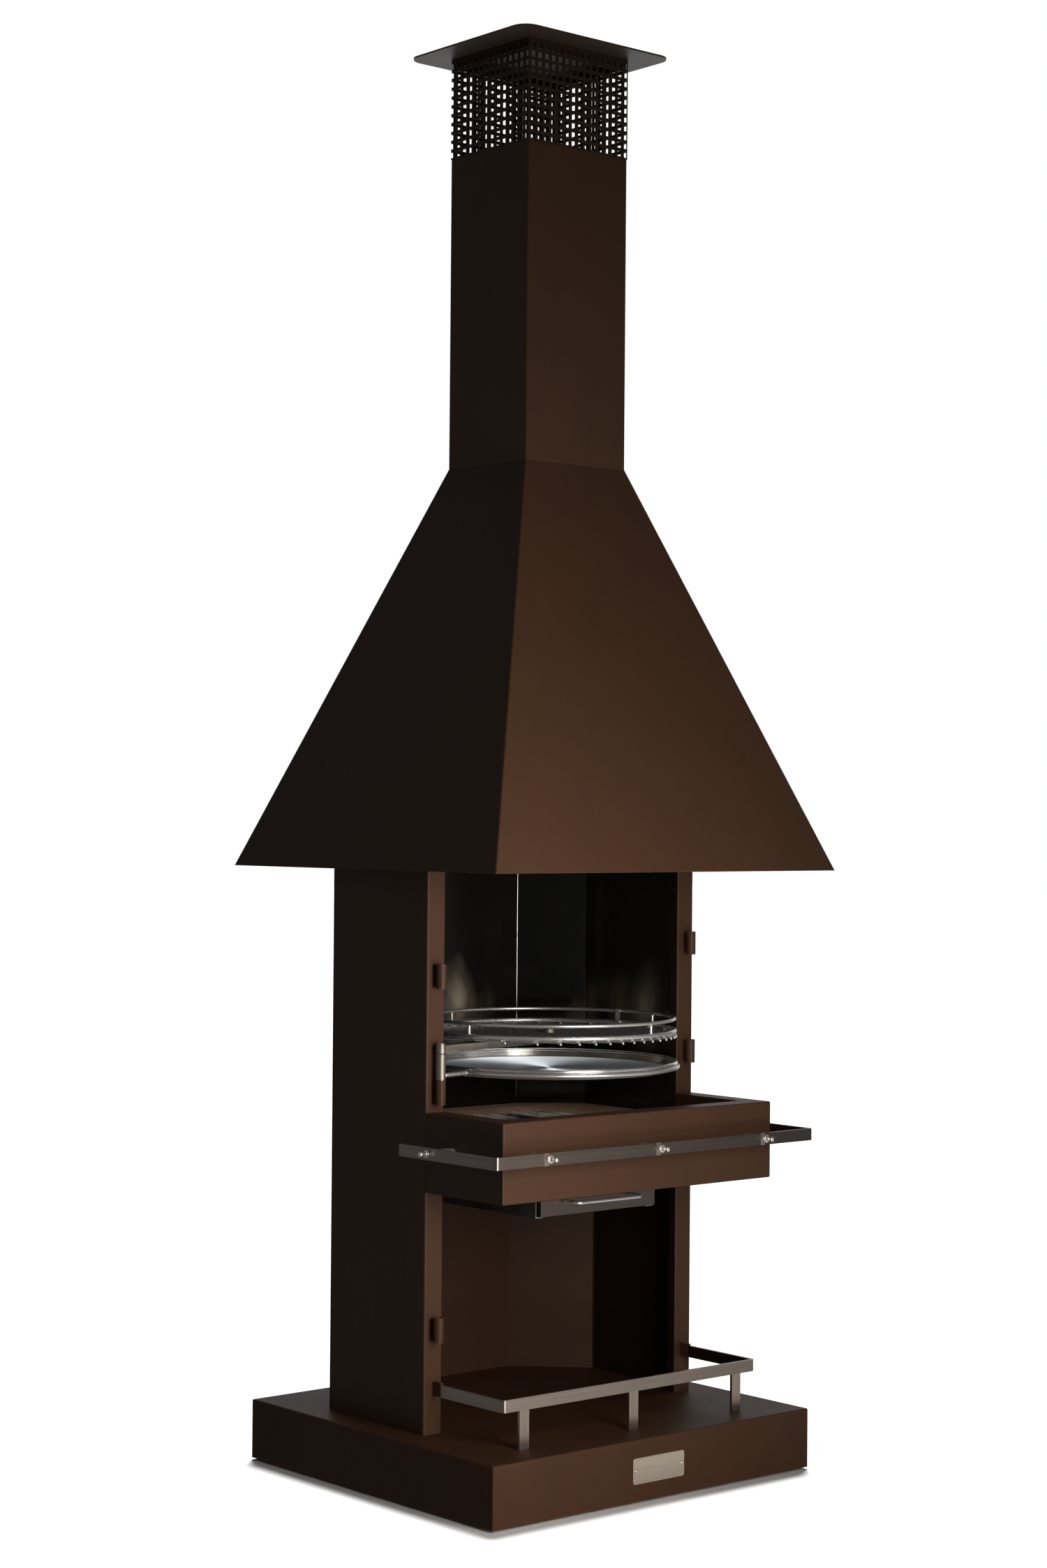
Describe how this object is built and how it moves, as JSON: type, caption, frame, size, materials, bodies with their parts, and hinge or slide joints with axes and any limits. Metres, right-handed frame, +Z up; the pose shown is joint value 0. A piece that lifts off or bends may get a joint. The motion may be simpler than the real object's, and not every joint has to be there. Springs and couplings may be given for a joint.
{
  "type": "chiminea",
  "caption": "Tall folded-steel garden chiminea: plinth, log store, open fire chamber with swing-out grill and pan, ash drawer, pyramid hood, square chimney with spark screen.",
  "frame": {"origin": "on the ground, under the centre of the plinth and of the hood", "axes": "+Z up, the open front faces -Y, +X is to the right when facing the front"},
  "size_m": [0.7556, 0.704, 2.4138],
  "materials": {
    "painted_brown": "satin fine-texture powder coat, dark brown",
    "liner_black": "smooth heat-resistant black, semi-gloss",
    "stainless_brushed": "brushed stainless, grain along the bar",
    "stainless_bright": "polished stainless rod and dish",
    "rubber": "matt black rubber"
  },
  "bodies": {
    "root": {"plinth": "painted_brown", "rubber_pads": "rubber", "column_side_left": "painted_brown", "column_side_right": "painted_brown", "column_back": "painted_brown", "liner_left": "liner_black", "liner_right": "liner_black", "liner_back": "liner_black", "hearth_plate": "liner_black", "ash_chute": "liner_black", "chute_flange": "liner_black", "ash_grate": "stainless_bright", "front_ledge": "painted_brown", "drawer_runners": "liner_black", "upper_rail": "stainless_brushed", "lower_rail": "stainless_brushed", "lower_rail_posts": "stainless_brushed", "rail_tabs": "painted_brown", "rail_standoffs": "stainless_brushed", "utensil_pegs": "stainless_bright", "sleeve_lower_left": "painted_brown", "sleeve_upper_left": "painted_brown", "sleeve_base_left": "painted_brown", "sleeve_lower_right": "painted_brown", "sleeve_upper_right": "painted_brown", "pivot_pin": "stainless_bright", "hood": "painted_brown", "hood_gussets": "painted_brown", "chimney": "painted_brown", "chimney_spigot": "painted_brown", "screen_spigot": "painted_brown", "spark_screen": "painted_brown", "screen_lip": "painted_brown", "cap_plate": "painted_brown", "name_plate": "stainless_brushed", "plate_screws": "stainless_bright"},
    "pan_arm": {"pan_arm": "stainless_bright"},
    "fire_pan": {"fire_pan": "stainless_bright"},
    "grate_arm": {"grate_arm": "stainless_bright"},
    "grill": {"grill_grate": "stainless_bright", "guard_ring": "stainless_bright", "guard_posts": "stainless_bright"},
    "ash_drawer": {"ash_drawer": "stainless_brushed", "drawer_handle": "stainless_bright"}
  },
  "joints": [
    {"name": "pan_arm_swing", "type": "hinge", "parent": "root", "child": "pan_arm", "pos_m": [-0.28, -0.0995, 0.7], "axis": [0, 0, 1], "range_deg": [-160, 0]},
    {"name": "pan_lift", "type": "slide", "parent": "pan_arm", "child": "fire_pan", "axis": [0, 0, 1], "range_m": [0, 0.022]},
    {"name": "grate_arm_swing", "type": "hinge", "parent": "root", "child": "grate_arm", "pos_m": [-0.28, -0.0995, 0.73], "axis": [0, 0, 1], "range_deg": [-160, 0]},
    {"name": "grill_spin", "type": "hinge", "parent": "grate_arm", "child": "grill", "pos_m": [0, -0.043, 0.743], "axis": [0, 0, 1], "continuous": true},
    {"name": "ash_drawer_slide", "type": "slide", "parent": "root", "child": "ash_drawer", "axis": [0, -1, 0], "range_m": [0, 0.24]}
  ]
}
